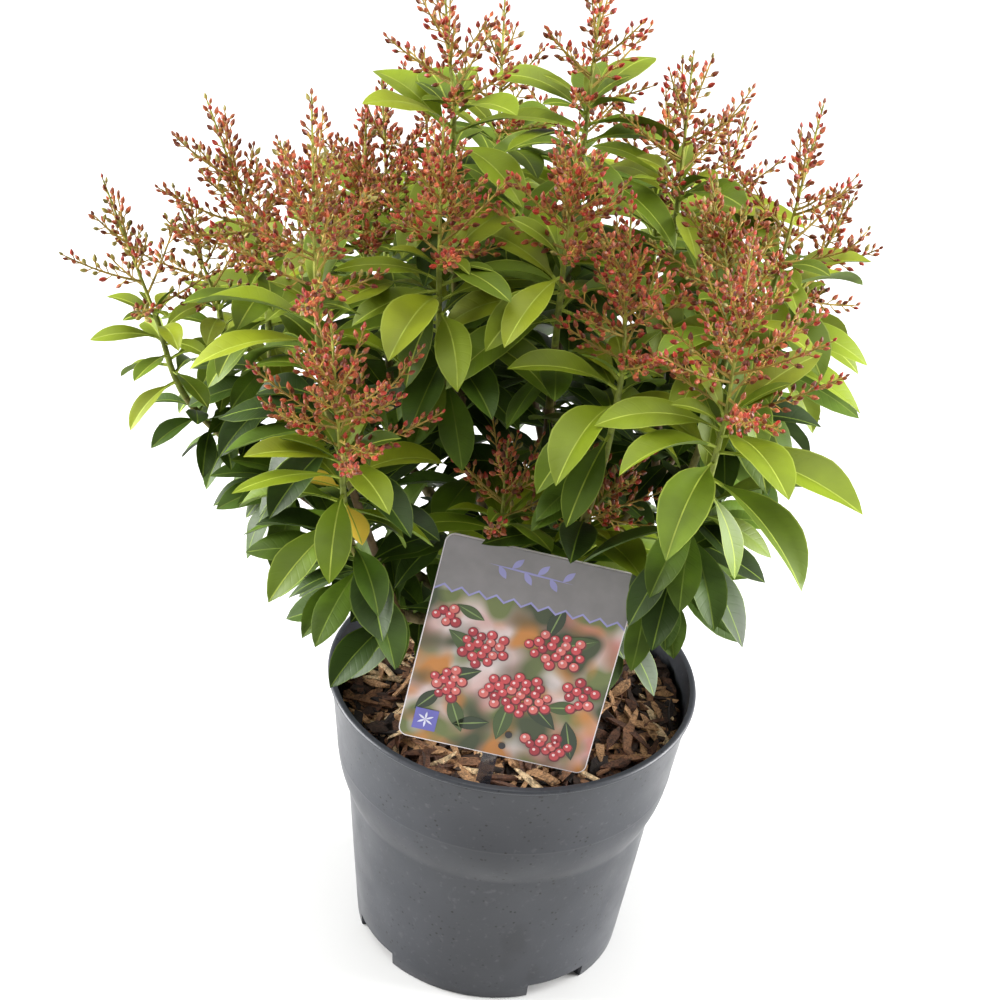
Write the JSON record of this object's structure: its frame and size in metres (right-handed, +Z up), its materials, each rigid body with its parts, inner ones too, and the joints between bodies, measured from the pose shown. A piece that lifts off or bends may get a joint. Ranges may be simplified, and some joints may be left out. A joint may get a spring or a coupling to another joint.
{
  "type": "potted pieris shrub",
  "caption": "Young pieris shrub in a round nursery pot: a short forked stem, spreading boughs, whorled glossy leaves, red bud panicles, bark mulch and a plain plant label.",
  "frame": {"origin": "centre of the pot's flat underside, on the pot's axis", "axes": "+Z up the pot's axis, -Y towards the side that the label faces, +X to the right as seen from there"},
  "size_m": [0.3256, 0.2779, 0.442],
  "materials": {
    "pot_plastic": "moulded slate-grey polypropylene, satin, lightly scuffed and dusty",
    "mulch": "damp dark bark chips with paler splinters over compost",
    "label_card": "thin printed plastic card on a clear stake",
    "bark": "finely fissured grey-brown bark",
    "young_bark": "smooth olive-brown young bark",
    "foliage": "glossy leathery leaves, bright yellow-green when young and deep green on older wood, with dark red buds"
  },
  "bodies": {
    "root": {"pot": "pot_plastic", "mulch": "mulch", "label": "label_card", "trunk": "bark", "bough_far_left": "young_bark", "bough_front_left": "young_bark", "bough_top_left": "young_bark", "bough_top_centre": "young_bark", "bough_right_upper": "young_bark", "bough_front_right": "young_bark", "bough_front_centre": "young_bark", "bough_back_left": "young_bark", "bough_back_centre": "young_bark", "bough_back_right": "young_bark", "mass_far_left": "foliage", "mass_front_left": "foliage", "mass_top_left": "foliage", "mass_top_centre": "foliage", "mass_right_upper": "foliage", "mass_front_right": "foliage", "mass_front_centre": "foliage", "mass_back_left": "foliage", "mass_back_centre": "foliage", "mass_back_right": "foliage"}
  },
  "joints": []
}
